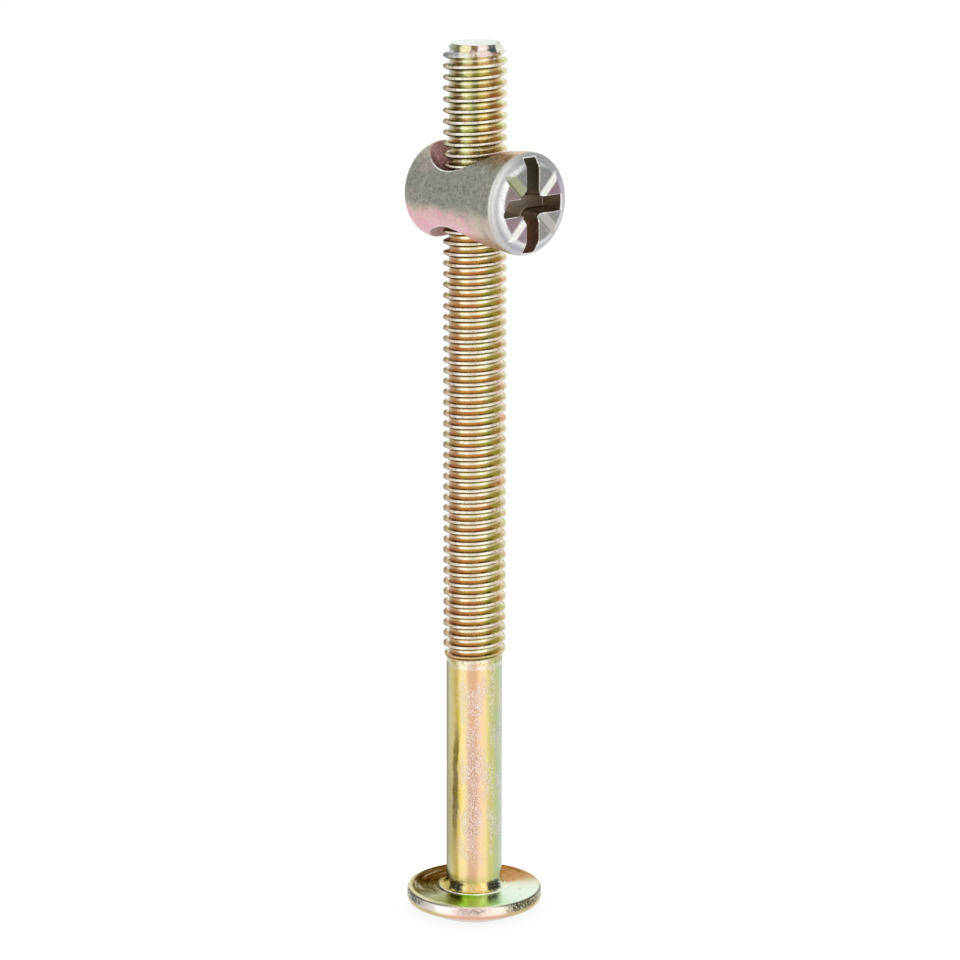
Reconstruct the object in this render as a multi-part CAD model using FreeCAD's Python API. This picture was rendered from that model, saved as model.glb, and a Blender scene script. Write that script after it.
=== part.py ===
"""Furniture connector bolt: a flat-headed M6 bolt with a barrel nut run onto its thread.

The bolt stands on its head, with its axis along +Z. The barrel nut lies across it, with the
slotted end of the barrel towards +X. The origin is the centre of the head's outer face.
The thread itself is finer than this model goes: the bolt has its full outline up to the
crests of the thread, and the nut has a plain bore that runs freely over them.
"""

import FreeCAD, Part
import math
import os

# Sizes are in millimetres

# Head of the bolt
head_diameter = 12.75
head_height = 2.2
head_face_diameter = 8.9
head_bevel_angle = 26.0
head_bevel_round = 0.5
head_top_round = 0.42

# Hexagon socket in the head
socket_across_flats = 4.0
socket_depth = 2.2
socket_point_depth = 0.5
socket_mouth_chamfer = 0.2

# Shank and thread
length_under_head = 80.0
shank_diameter = 5.2
shank_length = 22.2
neck_fillet = 0.65
run_out_length = 1.3
thread_diameter = 5.85
tip_diameter = 4.45
tip_chamfer_height = 0.7

# Barrel nut, measured from the axis of the bolt along the barrel
barrel_diameter = 8.96
slotted_end_reach = 7.75
plain_end_reach = 5.15
plain_end_round = 0.9
collar_diameter = 9.36
collar_length = 1.55
collar_flare_length = 1.0
collar_round = 0.3
end_face_diameter = 7.0
end_bevel_depth = 0.75
nut_height_above_head = 66.2

# Hole across the barrel
bore_clearance = 0.05
mouth_diameter = 8.9
mouth_angle = 48.0

# Driver recess in the slotted end
recess_depth = 2.4
slot_width = 1.45
long_slot_length = 8.6
short_slot_length = 6.84
slot_corner_round = 0.75
groove_width = 1.05
groove_depth = 0.36
groove_start = 1.3
groove_end = 4.3

# A cutting tool stands this far clear of the surface that it enters
cutter_margin = 1.0

under_head = head_height
tip_height = under_head + length_under_head
nut_centre_height = under_head + nut_height_above_head


def corner_arc(before, corner, after, radius):
    """Arc of the given radius that is tangent to the two lines meeting at a corner."""
    to_before = (before - corner).normalize()
    to_after = (after - corner).normalize()
    half_angle = to_before.getAngle(to_after) / 2.0
    tangent_length = radius / math.tan(half_angle)
    bisector = (to_before + to_after).normalize()
    middle = corner + bisector * (radius / math.sin(half_angle) - radius)
    return Part.Arc(corner + to_before * tangent_length, middle, corner + to_after * tangent_length)


def turned(outline, place, spin_axis):
    """Solid of revolution from points (distance along the axis, radius, rounding of the corner).

    The place function turns (along, radius) into a point of a plane that holds the spin axis.
    """
    points = [place(along, radius) for along, radius, rounding in outline]
    edges = []
    start = points[0]
    for index in range(1, len(points)):
        corner = points[index]
        rounding = outline[index][2]
        end = corner
        arc = None
        if rounding > 0.0:
            arc = corner_arc(points[index - 1], corner, points[index + 1], rounding)
            end = arc.StartPoint
        edges.append(Part.makeLine(start, end))
        start = end
        if arc is not None:
            edges.append(arc.toShape())
            start = arc.EndPoint
    edges.append(Part.makeLine(start, points[0]))
    face = Part.Face(Part.Wire(edges))
    return face.revolve(FreeCAD.Vector(0, 0, 0), spin_axis, 360.0)


def hexagon_prism(across_flats, bottom, top):
    """Upright hexagonal prism with two of its corners on the X axis."""
    corner_radius = across_flats / math.sqrt(3.0)
    corners = []
    for index in range(7):
        angle = math.radians(60.0 * index)
        corners.append(FreeCAD.Vector(
            corner_radius * math.cos(angle), corner_radius * math.sin(angle), bottom))
    return Part.Face(Part.makePolygon(corners)).extrude(FreeCAD.Vector(0, 0, top - bottom))


def socket_cutter():
    """Hexagon socket with a chamfered mouth and the shallow cone that its punch leaves."""
    corner_radius = socket_across_flats / math.sqrt(3.0)
    flat_radius = socket_across_flats / 2.0
    prism = hexagon_prism(socket_across_flats, -cutter_margin, socket_depth)
    point = Part.makeCone(flat_radius, 0.0, socket_point_depth, FreeCAD.Vector(0, 0, socket_depth))
    mouth = Part.makeCone(
        corner_radius + socket_mouth_chamfer + cutter_margin,
        corner_radius - socket_mouth_chamfer,
        cutter_margin + 2.0 * socket_mouth_chamfer,
        FreeCAD.Vector(0, 0, -cutter_margin))
    return prism.fuse([point, mouth])


def bolt():
    """Head, neck, plain shank, thread run-out, threaded length and chamfered tip in one piece."""
    head_radius = head_diameter / 2.0
    face_radius = head_face_diameter / 2.0
    bevel_top = (head_radius - face_radius) * math.tan(math.radians(head_bevel_angle))
    shank_radius = shank_diameter / 2.0
    thread_radius = thread_diameter / 2.0
    run_out_start = under_head + shank_length
    outline = [
        (0.0, 0.0, 0.0),
        (0.0, face_radius, 0.0),
        (bevel_top, head_radius, head_bevel_round),
        (under_head, head_radius, head_top_round),
        (under_head, shank_radius, neck_fillet),
        (run_out_start, shank_radius, 0.0),
        (run_out_start + run_out_length, thread_radius, 0.0),
        (tip_height - tip_chamfer_height, thread_radius, 0.0),
        (tip_height, tip_diameter / 2.0, 0.0),
        (tip_height, 0.0, 0.0),
    ]
    body = turned(outline, lambda along, radius: FreeCAD.Vector(radius, 0, along),
                  FreeCAD.Vector(0, 0, 1))
    return body.cut(socket_cutter())


def barrel_body():
    """Barrel turned about the X axis: a rounded plain end, and a collar with a bevelled end."""
    barrel_radius = barrel_diameter / 2.0
    collar_start = slotted_end_reach - collar_length
    outline = [
        (-plain_end_reach, 0.0, 0.0),
        (-plain_end_reach, barrel_radius, plain_end_round),
        (collar_start - collar_flare_length, barrel_radius, 0.0),
        (collar_start, collar_diameter / 2.0, 0.0),
        (slotted_end_reach - end_bevel_depth, collar_diameter / 2.0, collar_round),
        (slotted_end_reach, end_face_diameter / 2.0, 0.0),
        (slotted_end_reach, 0.0, 0.0),
    ]
    return turned(outline, lambda along, radius: FreeCAD.Vector(along, radius, 0),
                  FreeCAD.Vector(1, 0, 0))


def bolt_hole_cutter():
    """Bore across the barrel, opened at both ends by a wide conical mouth."""
    bore_radius = thread_diameter / 2.0 + bore_clearance
    barrel_radius = barrel_diameter / 2.0
    mouth_radius = mouth_diameter / 2.0
    slope = math.tan(math.radians(mouth_angle / 2.0))
    cone_start = barrel_radius - (mouth_radius - bore_radius) / slope
    cone_top = barrel_radius + cutter_margin
    top_radius = mouth_radius + cutter_margin * slope
    bore = Part.makeCylinder(bore_radius, 2.0 * cone_top, FreeCAD.Vector(0, 0, -cone_top))
    mouths = []
    for direction in (1.0, -1.0):
        mouths.append(Part.makeCone(
            bore_radius, top_radius, cone_top - cone_start,
            FreeCAD.Vector(0, 0, direction * cone_start), FreeCAD.Vector(0, 0, direction)))
    return bore.fuse(mouths)


def cross_cutter():
    """Long slot in line with the bolt and a shorter slot across it, with rounded inner corners."""
    floor = slotted_end_reach - recess_depth
    depth = recess_depth + cutter_margin
    half_width = slot_width / 2.0
    long_slot = Part.makeBox(
        depth, slot_width, long_slot_length,
        FreeCAD.Vector(floor, -half_width, -long_slot_length / 2.0))
    short_slot = Part.makeBox(
        depth, short_slot_length, slot_width,
        FreeCAD.Vector(floor, -short_slot_length / 2.0, -half_width))
    cross = long_slot.fuse(short_slot)
    inner_corners = []
    for edge in cross.Edges:
        middle = edge.CenterOfMass
        at_corner = abs(abs(middle.y) - half_width) < 1e-6 and abs(abs(middle.z) - half_width) < 1e-6
        if at_corner:
            inner_corners.append(edge)
    return cross.makeFillet(slot_corner_round, inner_corners)


def groove_cutters():
    """Four V grooves that run outwards on the diagonals between the slots."""
    half_width = groove_width / 2.0 * (groove_depth + cutter_margin) / groove_depth
    top = slotted_end_reach + cutter_margin
    section = Part.makePolygon([
        FreeCAD.Vector(slotted_end_reach - groove_depth, 0, groove_start),
        FreeCAD.Vector(top, half_width, groove_start),
        FreeCAD.Vector(top, -half_width, groove_start),
        FreeCAD.Vector(slotted_end_reach - groove_depth, 0, groove_start),
    ])
    groove = Part.Face(section).extrude(FreeCAD.Vector(0, 0, groove_end - groove_start))
    grooves = []
    for quarter in range(4):
        copy = groove.copy()
        copy.rotate(FreeCAD.Vector(0, 0, 0), FreeCAD.Vector(1, 0, 0), 45.0 + 90.0 * quarter)
        grooves.append(copy)
    return grooves


def barrel_nut():
    """Barrel with its cross hole and driver recess, set at its place on the bolt."""
    cutter = bolt_hole_cutter().fuse([cross_cutter()] + groove_cutters())
    nut = barrel_body().cut(cutter)
    nut.translate(FreeCAD.Vector(0, 0, nut_centre_height))
    return nut


def main():
    os.makedirs("parts", exist_ok=True)
    for name, shape in (("bolt", bolt()), ("barrel_nut", barrel_nut())):
        solid = shape.removeSplitter()
        box = solid.BoundBox
        print(name, "valid", solid.isValid(), "solids", len(solid.Solids),
              "volume", round(solid.Volume, 3),
              "x", round(box.XMin, 3), round(box.XMax, 3),
              "y", round(box.YMin, 3), round(box.YMax, 3),
              "z", round(box.ZMin, 3), round(box.ZMax, 3))
        solid.exportStep("parts/" + name + ".step")


main()
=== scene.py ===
# %% [markdown]
# # A furniture connector bolt
#
# The real object is a flat-headed bolt with a rolled thread, plated in glossy yellow zinc, and a
# barrel nut in dull zinc that is run onto it. The packed model already holds both pieces as plain
# solids in their true places. This lesson dresses them: it works out the helical thread and the
# softened edges of the nut as surfaces, then builds the plating from procedural nodes.

import bpy
import bmesh
import numpy as np
from mathutils import Matrix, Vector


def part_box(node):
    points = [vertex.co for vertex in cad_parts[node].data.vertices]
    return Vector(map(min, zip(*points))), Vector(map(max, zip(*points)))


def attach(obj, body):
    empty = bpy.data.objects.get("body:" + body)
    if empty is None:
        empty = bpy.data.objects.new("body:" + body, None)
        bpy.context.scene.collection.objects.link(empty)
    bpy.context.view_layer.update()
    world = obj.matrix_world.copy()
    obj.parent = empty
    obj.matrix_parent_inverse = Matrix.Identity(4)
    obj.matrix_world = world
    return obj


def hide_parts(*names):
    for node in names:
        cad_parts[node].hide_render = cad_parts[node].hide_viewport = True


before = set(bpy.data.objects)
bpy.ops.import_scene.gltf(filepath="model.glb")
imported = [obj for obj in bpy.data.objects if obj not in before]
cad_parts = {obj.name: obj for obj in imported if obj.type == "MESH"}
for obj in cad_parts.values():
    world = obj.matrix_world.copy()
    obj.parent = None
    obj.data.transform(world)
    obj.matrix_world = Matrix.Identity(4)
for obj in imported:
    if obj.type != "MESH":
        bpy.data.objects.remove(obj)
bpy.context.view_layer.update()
bolt_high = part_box("bolt")[1]
nut_low, nut_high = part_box("barrel_nut")
print("nodes", sorted(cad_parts), "height in mm", round(bolt_high.z * 1000, 3))

# %% [markdown]
# ## Sizes
#
# The solids give the sizes that both models share, and they are read from the frame, so that a
# piece made here can't drift away from the solid that it stands for. Only what the solids leave
# out, such as the pitch of the thread or the softness of an edge, is written here, in millimetres.

# %% Sizes in millimetres
MM = 0.001
TIP_Z = bolt_high.z / MM
HEAD_R = bolt_high.x / MM
NUT_Z = (nut_low.z + nut_high.z) / 2 / MM
FACE_X = nut_high.x / MM
PLAIN_X = nut_low.x / MM
COLLAR_R = (nut_high.z - nut_low.z) / 2 / MM

HEAD_H = 2.2
FACE_R = 4.45
BEVEL_TOP = 0.94
SHANK_R = 2.6
SHANK_TOP = 24.4
RUN_OUT = 1.3
CREST_R = 2.92
PITCH = 1.0
TIP_R = 2.225
print("nut centre", round(NUT_Z, 3), "from", round(PLAIN_X, 3), "to", round(FACE_X, 3))

# %% [markdown]
# ## Camera
#
# The photograph was taken with a long lens, a little above the object, and its frame is square.
# The pitch of the thread shrinks towards the head in the picture, and that gives the distance of
# the camera. The nut's slotted end then gives the direction from which it looks. The bolt leans
# by a tenth of a degree in the picture, which is a slight roll of the camera.

# %% Camera
CAMERA_AZIMUTH = 48.0
CAMERA_DISTANCE = 337.8
CAMERA_HEIGHT = 125.8
CAMERA_PITCH = 13.98
CAMERA_YAW = 0.083
CAMERA_ROLL = 0.1
LENS_MM = 141.3
FRONT = np.radians(CAMERA_AZIMUTH - 90.0)


def make_camera():
    """Camera at the photograph's place. It is rolled, then tilted down, then turned to the bolt."""
    azimuth = np.radians(CAMERA_AZIMUTH)
    data = bpy.data.cameras.new("camera")
    data.lens = LENS_MM
    data.sensor_width = 36.0
    data.clip_start = 0.01
    data.clip_end = 20.0
    camera = bpy.data.objects.new("camera", data)
    camera.location = (
        CAMERA_DISTANCE * MM * np.sin(azimuth),
        -CAMERA_DISTANCE * MM * np.cos(azimuth),
        CAMERA_HEIGHT * MM)
    roll = Matrix.Rotation(np.radians(CAMERA_ROLL), 3, "Z")
    tilt = Matrix.Rotation(np.radians(90.0 - CAMERA_PITCH), 3, "X")
    turn = Matrix.Rotation(azimuth - np.radians(CAMERA_YAW), 3, "Z")
    camera.rotation_euler = (turn @ tilt @ roll).to_euler()
    bpy.context.scene.collection.objects.link(camera)
    bpy.context.scene.camera = camera
    return camera


camera = make_camera()
print("camera at", [round(value, 4) for value in camera.location])

# %% [markdown]
# ## Helpers for surfaces
#
# Every turned piece is one grid of points: rows run along the outline and columns run round the
# axis. A grid is easy to make with numpy, as two arrays of radius and height, and it gives clean
# quads. Where two neighbouring rows or columns hold the same points, welding closes the surface,
# so seams and poles need no special case.

# %% Grid helpers


def smooth(low, high, value):
    """Smooth step: 0 below low, 1 above high, and 3t^2 - 2t^3 between them."""
    t = np.clip((value - low) / (high - low), 0.0, 1.0)
    return t * t * (3.0 - 2.0 * t)


def bump(value, centre, width):
    """Bell curve of height 1 about a centre: exp(-(distance / width)^2)."""
    return np.exp(-((value - centre) / width) ** 2)


def grid_faces(rows, columns):
    """Quads of a grid whose point number is row * columns + column."""
    first = (np.arange(rows - 1)[:, None] * columns + np.arange(columns - 1)[None, :]).ravel()
    return np.stack([first, first + 1, first + columns + 1, first + columns], axis=1)


def mesh_object(name, points_mm, faces, weld_mm=0.0, numbers=None):
    """Object at the origin from points in millimetres and quads, welded where points coincide.

    Each entry of numbers becomes an attribute: one number for each point.
    """
    mesh = bpy.data.meshes.new(name)
    mesh.vertices.add(len(points_mm))
    mesh.vertices.foreach_set("co", (points_mm * MM).astype(np.float32).ravel())
    mesh.loops.add(faces.size)
    mesh.loops.foreach_set("vertex_index", faces.astype(np.int32).ravel())
    mesh.polygons.add(len(faces))
    starts = np.arange(0, faces.size, faces.shape[1], dtype=np.int32)
    mesh.polygons.foreach_set("loop_start", starts)
    mesh.update(calc_edges=True)
    for title, values in (numbers or {}).items():
        attribute = mesh.attributes.new(title, "FLOAT", "POINT")
        attribute.data.foreach_set("value", np.asarray(values, dtype=np.float32).ravel())
    if weld_mm > 0.0:
        shape = bmesh.new()
        shape.from_mesh(mesh)
        bmesh.ops.remove_doubles(shape, verts=shape.verts, dist=weld_mm * MM)
        shape.to_mesh(mesh)
        shape.free()
    mesh.validate()
    mesh.polygons.foreach_set("use_smooth", np.ones(len(mesh.polygons), dtype=bool))
    made = bpy.data.objects.new(name, mesh)
    bpy.context.scene.collection.objects.link(made)
    return made


def wander(position, seed, waves, slowest, fastest):
    """Smooth random curve from about -1 to 1: a sum of sine waves of seeded pitch and phase."""
    source = np.random.default_rng(seed)
    speeds = source.uniform(slowest, fastest, waves)
    phases = source.uniform(0.0, 2.0 * np.pi, waves)
    total = np.zeros_like(position, dtype=float)
    for speed, phase in zip(speeds, phases):
        total += np.sin(speed * position + phase)
    return total / np.sqrt(waves * 2.0)


print("a grid of 3 rows and 4 columns has", len(grid_faces(3, 4)), "quads")

# %% [markdown]
# ## The thread
#
# Rolling squeezes an M6 thread up between two dies. It leaves a flat land on each crest, another at
# the root, and steep flanks between them. One turn of this outline is a formula of the phase: how
# far a point lies above the crest, in millimetres along the axis. The crest climbs one pitch for
# each turn, so the phase at a point is its height less the angle's share of the pitch. The rows of
# the grid follow the helix too, which keeps each crest crisp with few points. At both ends the
# rows are clipped to a flat ring and weld together.

# %% Thread outline
THREAD_DEPTH = 0.54
CREST_LAND = 0.21
FLANK_SLOPE = np.tan(np.radians(62.0))
CORNER_SOFTNESS = 0.012
THREAD_PHASES = np.array([
    -0.5, -0.44, -0.402, -0.375, -0.25, -0.135, -0.108, -0.075,
    0.0, 0.075, 0.108, 0.135, 0.25, 0.375, 0.402, 0.44])
CREST_AT_FRONT = 80.33


def soft_least(a, b, softness):
    """Smaller of two values, with the corner where they cross rounded off."""
    return -softness * np.logaddexp(-a / softness, -b / softness)


def thread_radius(phase, crest_r):
    """Radius at a phase: the flank's straight line, cut off by the crest land and the root land."""
    away = np.abs((phase + PITCH / 2) % PITCH - PITCH / 2)
    flank = crest_r - (away - CREST_LAND / 2) * FLANK_SLOPE
    ridge = soft_least(flank, crest_r, CORNER_SOFTNESS)
    return -soft_least(-ridge, THREAD_DEPTH - crest_r, CORNER_SOFTNESS)


def crest_height(angle):
    """Height of a crest at an angle: it climbs one pitch a turn, counter-clockwise from above."""
    return CREST_AT_FRONT + PITCH * (angle - FRONT) / (2.0 * np.pi)


print("root radius", round(float(thread_radius(np.array(0.5), CREST_R)), 3))

# %% [markdown]
# ## The bolt as one grid
#
# From the point of the socket to the tip, the bolt is one outline carried round its axis: socket
# floor, hexagonal walls, chamfered mouth, flat face, bevel, rim, underside, neck, shank, thread
# and tip. The hexagon fits into the same columns, because a flat of a hexagon is a formula too:
# its radius is the half width over the cosine of the angle from the flat's middle. Cold heading
# leaves a small lip round the neck, pressed a little to one side, and it is shifted here as well.

# %% Head outline
LIP_R = 3.2
LIP_HEIGHT = 0.13
NECK_HEIGHT = 0.9
LOW_ROUND = 0.5
TOP_ROUND = 0.42


def arc_rows(centre, reach, start_deg, end_deg, count):
    """Points (radius, height) of an arc with its own reach in each direction, ends included."""
    angles = np.radians(np.linspace(start_deg, end_deg, count))
    return np.array(centre) + np.array(reach) * np.stack([np.cos(angles), np.sin(angles)], axis=1)


def head_outline():
    """Outline from the flat face to the shank: bevel, round rim, underside, lip and neck."""
    slope = BEVEL_TOP / (HEAD_R - FACE_R)
    bevel = np.degrees(np.arctan(slope))
    reach = LOW_ROUND * np.tan(np.radians((90.0 - bevel) / 2))
    low_centre = (HEAD_R - LOW_ROUND, BEVEL_TOP + reach)
    top_centre = (HEAD_R - TOP_ROUND, HEAD_H - TOP_ROUND)
    neck_width = LIP_R - SHANK_R - LIP_HEIGHT
    neck_centre = (SHANK_R + neck_width, HEAD_H + LIP_HEIGHT + NECK_HEIGHT)
    return np.concatenate([
        np.array([[FACE_R - 0.06, 0.0], [FACE_R + 0.05, 0.02]]),
        np.linspace([FACE_R + 0.5, 0.5 * slope], [HEAD_R - 0.6, BEVEL_TOP - 0.6 * slope], 3),
        arc_rows(low_centre, (LOW_ROUND, LOW_ROUND), bevel - 90.0, 0.0, 7),
        arc_rows(top_centre, (TOP_ROUND, TOP_ROUND), 0.0, 90.0, 8),
        np.linspace([HEAD_R - 0.8, HEAD_H], [LIP_R + 0.12, HEAD_H], 12),
        arc_rows((LIP_R - LIP_HEIGHT, HEAD_H), (LIP_HEIGHT, LIP_HEIGHT), 0.0, 90.0, 6),
        arc_rows(neck_centre, (neck_width, NECK_HEIGHT), 265.0, 180.0, 10)])


print("the head's outline has", len(head_outline()), "points")

# %% Socket
SOCKET_FLATS = 4.0
SOCKET_DEPTH = 2.2
SOCKET_POINT = 0.5
SOCKET_CHAMFER = 0.2


def socket_rows(angles):
    """Rows of the hexagon socket, from the point of its floor to the edge of its chamfer."""
    flat = SOCKET_FLATS / 2
    from_flat = (angles % (np.pi / 3)) - np.pi / 6
    hexagon = flat / np.cos(from_flat)
    mouth = SOCKET_FLATS / np.sqrt(3.0) + SOCKET_CHAMFER
    radii = []
    heights = []
    for share in (0.0, 0.3, 0.6, 0.9, 1.0):
        radii.append(hexagon * share)
        heights.append(SOCKET_DEPTH + SOCKET_POINT * np.maximum(1.0 - share * hexagon / flat, 0.0))
    chamfer_foot = mouth - hexagon
    for share in (0.04, 0.35, 0.7, 0.97, 1.0):
        radii.append(hexagon)
        heights.append(SOCKET_DEPTH + (chamfer_foot - SOCKET_DEPTH) * share)
    for share in (0.1, 0.9, 1.0):
        radii.append(hexagon + (mouth - hexagon) * share)
        heights.append(chamfer_foot * (1.0 - share))
    radii.append(np.full_like(angles, mouth + 0.03))
    heights.append(np.zeros_like(angles))
    return np.array(radii), np.array(heights)


print("socket", SOCKET_FLATS, "mm across flats and", SOCKET_DEPTH, "mm deep")

# %% Rows of the thread
THREAD_FOOT = SHANK_TOP - 0.3
CREST_DIP = 0.016
CREST_WANDER = 0.008
TIP_SLOPE = 0.62
TIP_SOFTNESS = 0.02


def thread_rows(angles):
    """Rows that follow the helix, clipped between the shank and the tip.

    The thread fades in over the run-out, and a steep cone chamfers it at the tip. The crests
    wander in height by a few hundredths, because a rolled crest is never quite filled.
    """
    first_turn = np.floor(THREAD_FOOT - CREST_AT_FRONT) - 1.0
    starts = (np.arange(first_turn, 3.0)[:, None] + THREAD_PHASES[None, :]).ravel()
    climb = (angles - FRONT) / (2.0 * np.pi) * PITCH
    heights = CREST_AT_FRONT + starts[:, None] * PITCH + climb[None, :]
    heights = np.clip(heights, THREAD_FOOT, TIP_Z)
    phase = heights - crest_height(angles)[None, :]
    along = heights * 2.0 * np.pi / PITCH
    wave = wander(along, seed=5, waves=9, slowest=0.3, fastest=2.2)
    crest_r = CREST_R - CREST_DIP + CREST_WANDER * wave
    full = thread_radius(phase, crest_r)
    grown = smooth(SHANK_TOP, SHANK_TOP + RUN_OUT, heights)
    radii = SHANK_R + (full - SHANK_R) * grown
    radii = soft_least(radii, TIP_R + (TIP_Z - heights) * TIP_SLOPE, TIP_SOFTNESS)
    radii = np.where(heights >= TIP_Z, TIP_R, radii)
    keep = (heights.max(axis=1) > THREAD_FOOT) | (np.arange(len(starts)) == 0)
    height_in_thread = np.clip((full - crest_r + THREAD_DEPTH) / THREAD_DEPTH, 0.0, 1.0)
    facing = np.sin(2.0 * np.pi * phase)
    return radii[keep], heights[keep], (height_in_thread * grown)[keep], (facing * grown)[keep]


print("crests lie within", CREST_WANDER, "mm of", round(CREST_R - CREST_DIP, 3))

# %% The whole bolt
COLUMNS = 90
SHANK_ROWS = 48
LIP_WIDTH = 0.3
LIP_SHIFT = 0.13
TIP_RINGS = np.array([0.97, 0.7, 0.35, 0.0])
WELD_MM = 0.0015


def make_bolt():
    """The whole bolt: sections of radius and height arrays, stacked and carried round the axis."""
    angles = np.linspace(0.0, 2.0 * np.pi, COLUMNS + 1)
    socket_r, socket_z = socket_rows(angles)
    head = head_outline()
    neck_top = HEAD_H + LIP_HEIGHT + NECK_HEIGHT
    shank_z = np.linspace(neck_top + 0.3, THREAD_FOOT, SHANK_ROWS)
    turned = np.concatenate([head, np.stack([np.full_like(shank_z, SHANK_R), shank_z], axis=1)])
    turned_r = np.repeat(turned[:, :1], COLUMNS + 1, axis=1)
    turned_z = np.repeat(turned[:, 1:], COLUMNS + 1, axis=1)
    pressed = bump(turned_r, LIP_R, LIP_WIDTH) * smooth(HEAD_H - 0.01, HEAD_H + 0.02, turned_z)
    turned_r = turned_r + LIP_SHIFT * pressed * np.cos(angles - FRONT + np.pi / 2)
    thread_r, thread_z, crest, facing = thread_rows(angles)
    tip_r = TIP_R * TIP_RINGS[:, None] * np.ones((1, COLUMNS + 1))
    tip_z = np.full_like(tip_r, TIP_Z)
    radii = np.concatenate([socket_r, turned_r, thread_r, tip_r])
    heights = np.concatenate([socket_z, turned_z, thread_z, tip_z])
    before = len(socket_r) + len(turned_r)
    numbers = {}
    for title, values in (("crest", crest), ("facing", facing)):
        numbers[title] = np.zeros_like(radii)
        numbers[title][before:before + len(values)] = values
    points = np.stack([radii * np.cos(angles), radii * np.sin(angles), heights], axis=2)
    faces = grid_faces(*radii.shape)
    bolt = mesh_object("dressed_bolt", points.reshape(-1, 3), faces, WELD_MM, numbers)
    bolt.data.set_sharp_from_angle(angle=np.radians(50.0))
    return bolt


bolt = make_bolt()
print("bolt", len(bolt.data.vertices), "points", len(bolt.data.polygons), "faces")

# %% [markdown]
# ## The nut as a distance field
#
# The barrel nut is a turned barrel with a hole across it, two wide mouths, crossed slots and four
# grooves. Boolean modifiers could cut these, but they leave razor edges and thin faces, and on the
# real nut every edge is softened by the press and the plating. So the nut is written as a distance
# field: a formula that gives how far a point is from the surface, negative inside. Two fields are
# joined or cut with a rounded minimum or maximum, which rounds the edge where they meet.

# %% Fields with rounded edges


def round_max(a, b, radius):
    """Intersection of two fields, with the edge where they meet rounded to the radius."""
    corner = np.hypot(np.maximum(a + radius, 0.0), np.maximum(b + radius, 0.0))
    return np.minimum(np.maximum(a, b), -radius) + corner


def round_min(a, b, radius):
    """Union of two fields, with the inner corner where they meet filled to the radius."""
    return -round_max(-a, -b, radius)


def slot_field(across, along, half_width, half_length):
    """Distance to a rectangle about the origin, in the plane of the slotted end."""
    over_width = np.abs(across) - half_width
    over_length = np.abs(along) - half_length
    outside = np.hypot(np.maximum(over_width, 0.0), np.maximum(over_length, 0.0))
    return outside + np.minimum(np.maximum(over_width, over_length), 0.0)


print("a square edge rounded to 1 mm starts", round(float(round_max(0.0, 0.0, 1.0)), 3), "mm out")

# %% Field of the recess
SLOT_WIDTH = 1.45
LONG_SLOT = 8.56
SHORT_SLOT = 6.84
RECESS_DEPTH = 2.4
SLOT_DRAFT = np.tan(np.radians(1.5))
SLOT_CORNER = 0.75
FLOOR_ROUND = 0.15
CHIP_Y = -2.85
CHIP_Z = 0.725
CHIP_SLANT = (0.8635, 0.505)


def recess_field(x, y, z):
    """Crossed slots with drafted walls and rounded inner corners, down to a flat floor.

    The punch was chipped: a slanting line cuts the upper corner off one end of the short slot.
    """
    half = SLOT_WIDTH / 2 - (FACE_X - x) * SLOT_DRAFT
    long_slot = slot_field(y, z, half, LONG_SLOT / 2)
    short_slot = slot_field(z, y, half, SHORT_SLOT / 2)
    chip = CHIP_SLANT[1] * (z - CHIP_Z) - CHIP_SLANT[0] * (y - CHIP_Y)
    short_slot = np.maximum(short_slot, chip)
    cross = round_min(long_slot, short_slot, SLOT_CORNER)
    return round_max(cross, (FACE_X - RECESS_DEPTH) - x, FLOOR_ROUND)


print("recess", RECESS_DEPTH, "mm deep, slots", LONG_SLOT, "and", SHORT_SLOT, "mm long")

# %% Fields of the grooves and the hole
GROOVE_DEPTH = 0.38
NARROW_GROOVE = 0.30
WIDE_GROOVE = (0.34, 0.58)
GROOVE_SHIFT = (0.2, -0.06)
GROOVE_START = 1.2
GROOVE_END = 4.3
GROOVE_ROUND = 0.15
VALLEY_ROUND = 0.01
VALLEY_LIFT = 0.06
MOUTH_R = 4.45
MOUTH_SLOPE = np.tan(np.radians(24.0))
THREAD_CLEARANCE = 0.045
BORE_STEEPNESS = 0.6
CONE_STEEPNESS = 0.9
BARREL_R = 4.48


def groove_field(x, y, z):
    """Four V grooves on the diagonals: a narrow pair, and a pair with one wall steeper.

    The sign of y times z tells which pair a point is near, so one formula serves all four.
    """
    rising = y * z > 0.0
    along = (np.abs(y) + np.abs(z)) / np.sqrt(2.0)
    down = (y - z) / np.sqrt(2.0) - GROOVE_SHIFT[0]
    up = (y + z) / np.sqrt(2.0) - GROOVE_SHIFT[1]
    across = np.where(rising, down, up)
    wide = np.where(across < 0.0, WIDE_GROOVE[0], WIDE_GROOVE[1])
    slope = GROOVE_DEPTH / np.where(rising, NARROW_GROOVE, wide)
    valley = np.sqrt(across ** 2 + VALLEY_ROUND) - VALLEY_LIFT
    floor = FACE_X - GROOVE_DEPTH + slope * valley
    wedge = (floor - x) / np.hypot(1.0, slope)
    ends = np.maximum(GROOVE_START - along, along - GROOVE_END)
    return round_max(wedge, ends, GROOVE_ROUND)


def mouth_field(x, y, z):
    """Distance inside the hole: a threaded bore that opens into a cone at each side."""
    phase = z + NUT_Z - crest_height(np.arctan2(y, x))
    bore = thread_radius(phase, CREST_R) + THREAD_CLEARANCE
    cone = MOUTH_R - (BARREL_R - np.abs(z)) * MOUTH_SLOPE
    steepness = np.where(bore > cone, BORE_STEEPNESS, CONE_STEEPNESS)
    return (np.hypot(x, y) - np.maximum(bore, cone)) * steepness


print("mouth", MOUTH_R, "mm in radius, grooves", GROOVE_DEPTH, "mm deep")

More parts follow.
